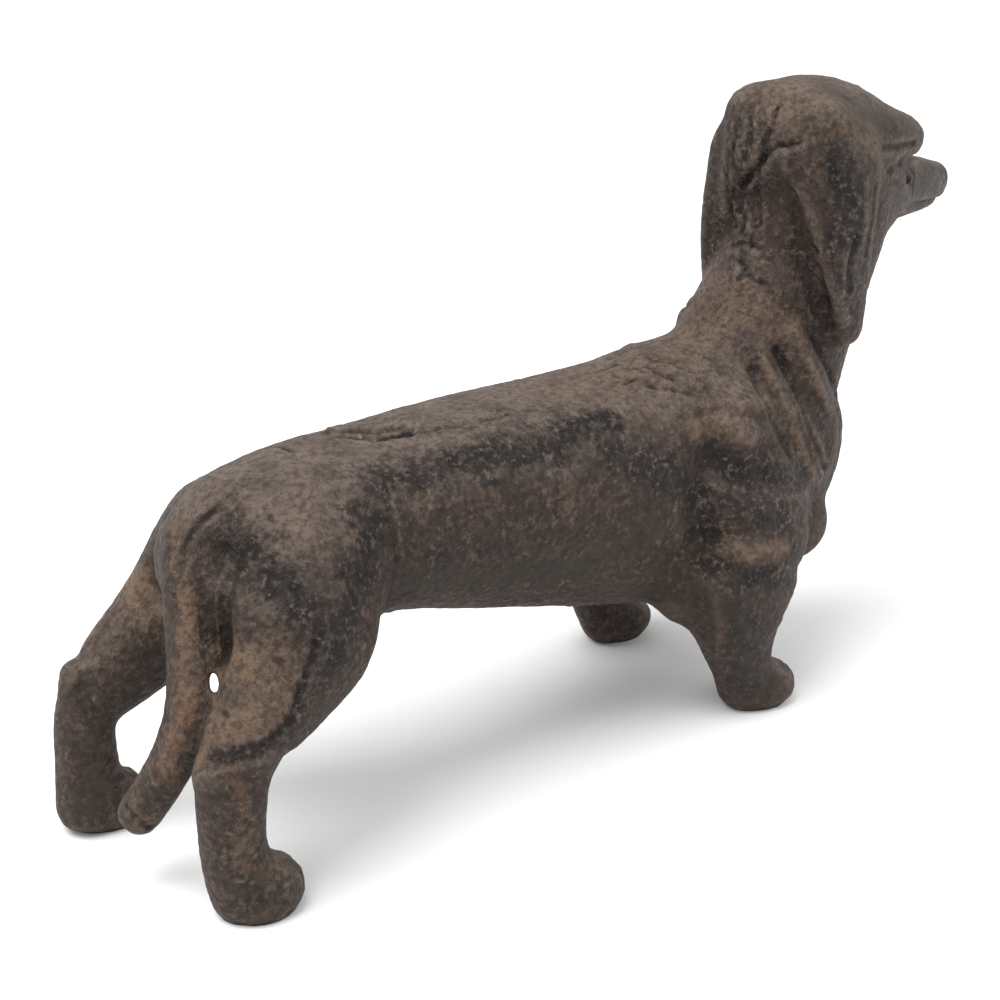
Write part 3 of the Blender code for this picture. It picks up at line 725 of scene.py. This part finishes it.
@dataclass(frozen=True)
class IronPatina:
    """The finish: brown-black scale over iron with painted shade in some grooves, tan where it is
    dusty or worn and as painted light on tops and ridges, rust on the tail, painted shade in the
    hollows and painted glints on the grains.

    Each share says how strongly a layer of that name covers what lies under it. The height of
    the grain is in metres.
    """

    body: Point = (0.033, 0.0215, 0.0145)
    warm: Point = (0.056, 0.036, 0.025)
    dark: Point = (0.0070, 0.0046, 0.0046)
    violet: Point = (0.031, 0.019, 0.0185)
    tan: Point = (0.150, 0.098, 0.064)
    # a pale colour for dust, for painted top light and for painted highlights on the humps
    dust_and_highlight: Point = (0.165, 0.124, 0.100)
    calm: Point = (0.018, 0.0140, 0.0085)
    rust: Point = (0.150, 0.084, 0.050)
    # a pale colour for the painted glints on the grains
    painted_glint_colour: Point = (0.170, 0.135, 0.108)
    roughness: float = 0.60
    metallic: float = 0.08
    gloss: float = 0.24
    patch_mm: float = 26.0
    mottle_mm: float = 6.5
    freckle_mm: float = 2.6
    grain_mm: float = 1.0
    grain_height: float = 0.00030
    violet_share: float = 0.45
    dust_and_top_light_share: float = 0.85
    tan_share: float = 0.85
    calm_share: float = 0.75
    dark_share: float = 0.96
    rust_share: float = 0.8
    broad_shade_share: float = 0.4
    hollow_shade_share: float = 0.75
    rim_highlight_share: float = 0.4
    pit_share: float = 0.85
    painted_glint_share: float = 0.55

    def material(self) -> bpy.types.Material:
        """Builds the procedural finish.

        Returns:
            The material, which reads the layers painted on the skin.
        """
        made = Shader("cast_iron")
        patches = made.noise(self.patch_mm, 3.0, 0.55, 0.12)
        mottle = made.noise(self.mottle_mm, 4.0, 0.6, 0.14)
        freckle = made.noise(self.freckle_mm, 4.0, 0.65, 0.16)
        fine = made.noise(self.grain_mm, 4.0, 0.68, 0.18)
        dark, tan, rust, calm = (made.layer(wear.name) for wear in WEARS)
        hollow, broad, upward = made.layer("hollow"), made.layer("broad"), made.layer("upward")

        # the ground colour, browner and more violet in patches, lighter where it faces up with dust
        # and painted top light
        colour = made.mix(mottle, self.body, self.warm)
        colour = made.mix(made.times(patches, self.violet_share), colour, self.violet)
        dust_and_top_light = made.times(upward, made.stretch(mottle, -0.6, 0.8), self.dust_and_top_light_share)
        colour = made.mix(dust_and_top_light, colour, self.dust_and_highlight)
        # the painted layers, with edges that the noise breaks up
        edge = made.add(tan, made.around(mottle, 0.3), made.around(fine, 0.3))
        share = made.times(made.stretch(edge, 0.1, 1.1), self.tan_share)
        colour = made.mix(share, colour, self.tan)
        edge = made.add(calm, made.around(mottle, 0.4))
        share = made.times(made.stretch(edge, 0.2, 0.8), self.calm_share)
        colour = made.mix(share, colour, self.calm)
        edge = made.add(dark, made.around(freckle, 0.5), made.around(mottle, 0.4))
        share = made.times(made.stretch(edge, 0.1, 1.05), self.dark_share)
        colour = made.mix(share, colour, self.dark)
        edge = made.add(rust, made.around(mottle, 0.3), made.around(fine, 0.3))
        share = made.times(made.stretch(edge, 0.1, 1.0), self.rust_share)
        colour = made.mix(share, colour, self.rust)
        # painted shade in the broad hollows, dirt and painted shade in the small ones, and wear
        # with painted highlights on the humps
        sunk = made.stretch(broad, 0.05, 0.9)
        colour = made.mix(made.times(sunk, self.broad_shade_share), colour, self.dark)
        sunk = made.stretch(hollow, 0.02, 0.25)
        colour = made.mix(made.times(sunk, self.hollow_shade_share), colour, self.dark)
        raised = made.stretch(hollow, -0.015, -0.16)
        colour = made.mix(made.times(raised, self.rim_highlight_share), colour, self.dust_and_highlight)
        # dark points between the grains, and painted glints of light on them
        bare = made.add(0.62, made.times(dark, 0.38), made.times(calm, -0.45))
        pitted = made.times(made.stretch(fine, 0.62, 0.12), bare)
        colour = made.mix(made.times(pitted, self.pit_share), colour, self.dark)
        glint = made.times(made.stretch(fine, 0.55, 1.0), made.stretch(freckle, 0.2, 0.85))
        lit = made.times(glint, made.add(1.0, made.times(calm, -0.85)), self.painted_glint_share)
        colour = made.mix(lit, colour, self.painted_glint_colour)
        made.link(colour, made.shader.inputs["Base Color"])

        rough = made.add(self.roughness, made.around(freckle, 0.16), made.times(glint, -0.18))
        rough = made.add(rough, made.times(dark, -0.14), made.times(calm, -0.04))
        made.link(rough, made.shader.inputs["Roughness"])
        made.shader.inputs["Metallic"].default_value = self.metallic
        shine = made.times(dark, made.stretch(fine, 0.6, 1.0), 0.35)
        made.link(made.add(self.gloss, shine), made.shader.inputs["Specular IOR Level"])

        height = made.times(fine, made.add(1.0, made.times(calm, -0.72)))
        height = made.add(height, made.times(freckle, 0.9))
        bump = made.node("ShaderNodeBump", Strength=1.0, Distance=self.grain_height)
        made.link(height, bump.inputs["Height"])
        made.link(bump.outputs["Normal"], made.shader.inputs["Normal"])
        return made.material


@dataclass
class Casting:
    """The dachshund: one iron casting, with its modelling, its mould marks and its patina.

    Its lengths are in millimetres. The place of the gap is in the camera's picture, and its
    distance is from the camera.
    """

    eye: Viewpoint
    finish: IronPatina = field(default_factory=IronPatina)
    origin: Point = (30.0288, -0.3968, 0.0)
    fineness: float = 0.42
    triangles: int = 190_000
    sole_drop: float = 1.5
    grain_height: float = 0.075
    lump_height: float = 0.09
    grain_size: float = 1.3
    lump_size: float = 5.0
    calm_loss: float = 0.75
    pits: int = 420
    pit_radius: tuple[float, float] = (0.5, 1.3)
    pit_height: tuple[float, float] = (0.05, 0.2)
    pits_sunk: float = 0.6
    edge_size: float = 3.5
    hollow_rounds: int = 8
    broad_rounds: int = 70
    gap_place: Point = (214.0, 683.0)
    gap_distance: float = 300.8
    gap_half: Point = (0.66, 1.85, 8.0)

    def solid(self) -> bpy.types.Mesh:
        """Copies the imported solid, joins its faces and lets its soles down below the ground.

        Returns:
            The copy, in millimetres.
        """
        bm = bmesh.new()
        bm.from_mesh(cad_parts["dachshund"].data)
        bmesh.ops.scale(bm, vec=(1 / MM, 1 / MM, 1 / MM), verts=bm.verts)
        bmesh.ops.remove_doubles(bm, verts=bm.verts, dist=0.0001)
        soles = [face for face in bm.faces if all(vert.co.z < 0.001 for vert in face.verts)]
        grown = bmesh.ops.extrude_face_region(bm, geom=soles)
        lowered = [item for item in grown["geom"] if isinstance(item, bmesh.types.BMVert)]
        bmesh.ops.translate(bm, vec=(0, 0, -self.sole_drop), verts=lowered)
        bmesh.ops.delete(bm, geom=soles, context="FACES_ONLY")
        mesh = bpy.data.meshes.new("dachshund_skin")
        bm.to_mesh(mesh)
        bm.free()
        return mesh

    @staticmethod
    def reworked(mesh: bpy.types.Mesh, *steps: tuple[str, dict[str, object]]) -> bpy.types.Mesh:
        """Puts a mesh through modifiers.

        Args:
            mesh: the mesh, which is used up.
            steps: each modifier's kind and its settings.

        Returns:
            The new mesh.
        """
        holder = bpy.data.objects.new("work", mesh)
        bpy.context.scene.collection.objects.link(holder)
        for kind, settings in steps:
            modifier = holder.modifiers.new(kind, kind)
            for name, value in settings.items():
                setattr(modifier, name, value)
        graph = bpy.context.evaluated_depsgraph_get()
        result = bpy.data.meshes.new_from_object(holder.evaluated_get(graph))
        bpy.data.objects.remove(holder, do_unlink=True)
        bpy.data.meshes.remove(mesh)
        return result

    def gap(self) -> bpy.types.Object:
        """Makes the cutter of the thin gap between the tail and the thigh.

        Returns:
            The cutter, which lies along the line from which daylight shows through the gap.
        """
        ray = self.eye.ray(*self.gap_place)
        centre = Vector(self.eye.place) / MM + ray * self.gap_distance
        turn = ray.to_track_quat("-Z", "Y").to_matrix().to_4x4()
        bm = bmesh.new()
        bmesh.ops.create_uvsphere(
            bm, u_segments=20, v_segments=12, radius=1.0,
            matrix=Matrix.Translation(centre) @ turn @ Matrix.Diagonal((*self.gap_half, 1.0)),
        )
        mesh = bpy.data.meshes.new("gap")
        bm.to_mesh(mesh)
        bm.free()
        cutter = bpy.data.objects.new("gap", mesh)
        bpy.context.scene.collection.objects.link(cutter)
        return cutter

    def grow(self) -> Skin:
        """Grows the fine skin round the solid.

        Returns:
            The skin, even and uncarved.
        """
        cutter = self.gap()
        mesh = self.reworked(
            self.solid(),
            ("BOOLEAN", {"operation": "DIFFERENCE", "solver": "EXACT", "object": cutter}),
            ("SUBSURF", {"levels": 2, "render_levels": 2}),
            ("REMESH", {"mode": "VOXEL", "voxel_size": self.fineness}),
        )
        bpy.data.objects.remove(cutter, do_unlink=True)
        skin = Skin(mesh, self.origin)
        skin.even(12, 0.55, 0.56)
        skin.even(2, 0.4)
        return skin

    def model(self, skin: Skin) -> None:
        """Works the finer modelling and the marks of the sand mould into the skin.

        Args:
            skin: the skin.
        """
        wander = skin.grain(1.6, 3, 11.0)
        skin.carve(SEEN, self.eye, wander)
        skin.carve(UNSEEN, self.eye, wander)
        calm = sum(skin.reach(stroke, self.eye, wander) for stroke in CALM.strokes)
        coarse = 1 - self.calm_loss * np.clip(calm, 0, 1)
        height = skin.grain(self.grain_size, 3, 3.0) * self.grain_height
        height += skin.grain(self.lump_size, 2, 7.0) * self.lump_height
        self.pock(skin, height)
        skin.points += skin.normals * (height * coarse)[:, None]
        skin.settle()

    def pock(self, skin: Skin, height: Array) -> None:
        """Adds the pits and grains that loose sand leaves.

        Args:
            skin: the skin.
            height: the height at every point, which this changes.
        """
        dice = np.random.default_rng(5)
        for centre in skin.points[dice.integers(0, len(skin.points), self.pits)]:
            radius = dice.uniform(*self.pit_radius)
            sign = dice.choice([-1, 1], p=[self.pits_sunk, 1 - self.pits_sunk])
            tall = sign * dice.uniform(*self.pit_height)
            near = np.nonzero(np.all(np.abs(skin.points - centre) < radius, axis=1))[0]
            away = np.linalg.norm(skin.points[near] - centre, axis=1) / radius
            height[near] += tall * np.clip(1 - away**2, 0, 1) ** 2

    def stand(self, mesh: bpy.types.Mesh) -> bpy.types.Mesh:
        """Cuts the soles flat at the ground and thins the mesh to at most its set number of
        triangles.

        Args:
            mesh: the skin's mesh, which is used up.

        Returns:
            The finished mesh, in metres.
        """
        bm = bmesh.new()
        bm.from_mesh(mesh)
        bpy.data.meshes.remove(mesh)
        cut = bmesh.ops.bisect_plane(
            bm, geom=bm.verts[:] + bm.edges[:] + bm.faces[:], plane_co=(0, 0, 0),
            plane_no=(0, 0, -1), clear_outer=True,
        )
        rim = [item for item in cut["geom_cut"] if isinstance(item, bmesh.types.BMEdge)]
        bmesh.ops.holes_fill(bm, edges=rim, sides=0)
        bmesh.ops.triangulate(bm, faces=bm.faces)
        bmesh.ops.scale(bm, vec=(MM, MM, MM), verts=bm.verts)
        ratio = min(1.0, self.triangles / len(bm.faces))
        mesh = bpy.data.meshes.new("dachshund_skin")
        bm.to_mesh(mesh)
        bm.free()
        return self.reworked(mesh, ("DECIMATE", {"ratio": ratio}))

    def weather(self, skin: Skin) -> None:
        """Paints the layers that the patina, its painted shade and its painted light follow.

        Args:
            skin: the modelled skin.
        """
        wander = skin.grain(self.edge_size, 4, 23.0)
        for wear in WEARS:
            painted = np.zeros(len(skin.points))
            for stroke in wear.strokes:
                reach = skin.reach(stroke, self.eye, wander)
                painted = np.maximum(painted, stroke.depth * reach)
            skin.paint(wear.name, painted)
        # the masks of the painted shade in the hollows, of the painted highlights on the humps and
        # of the dust with painted top light on upward faces
        skin.paint("hollow", skin.hollow(self.hollow_rounds))
        skin.paint("broad", skin.hollow(self.broad_rounds))
        skin.paint("upward", np.clip((skin.normals[:, 2] - 0.25) / 0.6, 0, 1))

    def build(self) -> bpy.types.Object:
        """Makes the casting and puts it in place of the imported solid.

        Returns:
            The piece.
        """
        skin = self.grow()
        log.info("skin: %d points", len(skin.points))
        self.model(skin)
        self.weather(skin)
        mesh = self.stand(skin.mesh)
        mesh.name = "dachshund_casting"
        mesh.materials.clear()
        mesh.materials.append(self.finish.material())
        mesh.shade_smooth()
        piece = bpy.data.objects.new("dachshund_casting", mesh)
        bpy.context.scene.collection.objects.link(piece)
        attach(piece, "root")
        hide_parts("dachshund")
        log.info("dachshund_casting: %d triangles", len(mesh.polygons))
        return piece


@dataclass
class Studio:
    """The pale floor and the soft light round the figurine, in metres and watts."""

    floor_size: float = 6.0
    floor_colour: Point = (0.93, 0.93, 0.93)
    sky: float = 0.82
    key_power: float = 8.5
    key_place: Point = (-0.38, 0.02, 0.85)
    key_size: float = 0.6
    fill_power: float = 1.5
    fill_place: Point = (0.55, -0.35, 0.35)
    fill_size: float = 0.6
    lamp_aim: float = 0.05

    def floor(self) -> None:
        """Lays the floor, level with the soles."""
        half = self.floor_size / 2
        mesh = bpy.data.meshes.new("floor")
        corners = [(-half, -half, 0), (half, -half, 0), (half, half, 0), (-half, half, 0)]
        mesh.from_pydata(corners, [], [(0, 1, 2, 3)])
        paint = Shader("floor")
        paint.link(self.floor_colour, paint.shader.inputs["Base Color"])
        paint.shader.inputs["Roughness"].default_value = 0.9
        mesh.materials.append(paint.material)
        floor = bpy.data.objects.new("floor", mesh)
        bpy.context.scene.collection.objects.link(floor)

    def lamp(self, name: str, place: Point, power: float, size: float) -> None:
        """Hangs one soft lamp that faces the figurine.

        Args:
            name: the lamp's name.
            place: where it hangs.
            power: its power.
            size: the side of its square.
        """
        light = bpy.data.lights.new(name, "AREA")
        light.energy = power
        light.size = size
        holder = bpy.data.objects.new(name, light)
        holder.location = place
        holder.rotation_mode = "QUATERNION"
        facing = Vector((0, 0, self.lamp_aim)) - Vector(place)
        holder.rotation_quaternion = facing.to_track_quat("-Z", "Y")
        bpy.context.scene.collection.objects.link(holder)

    def build(self) -> None:
        """Makes the floor, the lamps and the even light from all round."""
        self.floor()
        self.lamp("key", self.key_place, self.key_power, self.key_size)
        self.lamp("fill", self.fill_place, self.fill_power, self.fill_size)
        world = bpy.data.worlds.new("studio")
        world.use_nodes = True
        world.node_tree.nodes["Background"].inputs["Color"].default_value = (1, 1, 1, 1)
        world.node_tree.nodes["Background"].inputs["Strength"].default_value = self.sky
        bpy.context.scene.world = world
        bpy.context.scene.view_settings.view_transform = "Standard"


def main() -> None:
    """Builds the camera, the studio and the casting."""
    logging.basicConfig(level=logging.INFO, format="%(message)s")
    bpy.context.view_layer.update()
    eye = Viewpoint()
    eye.build()
    Studio().build()
    log.info("studio: floor, two lamps and a camera")
    Casting(eye).build()


if __name__ == "__main__":
    main()
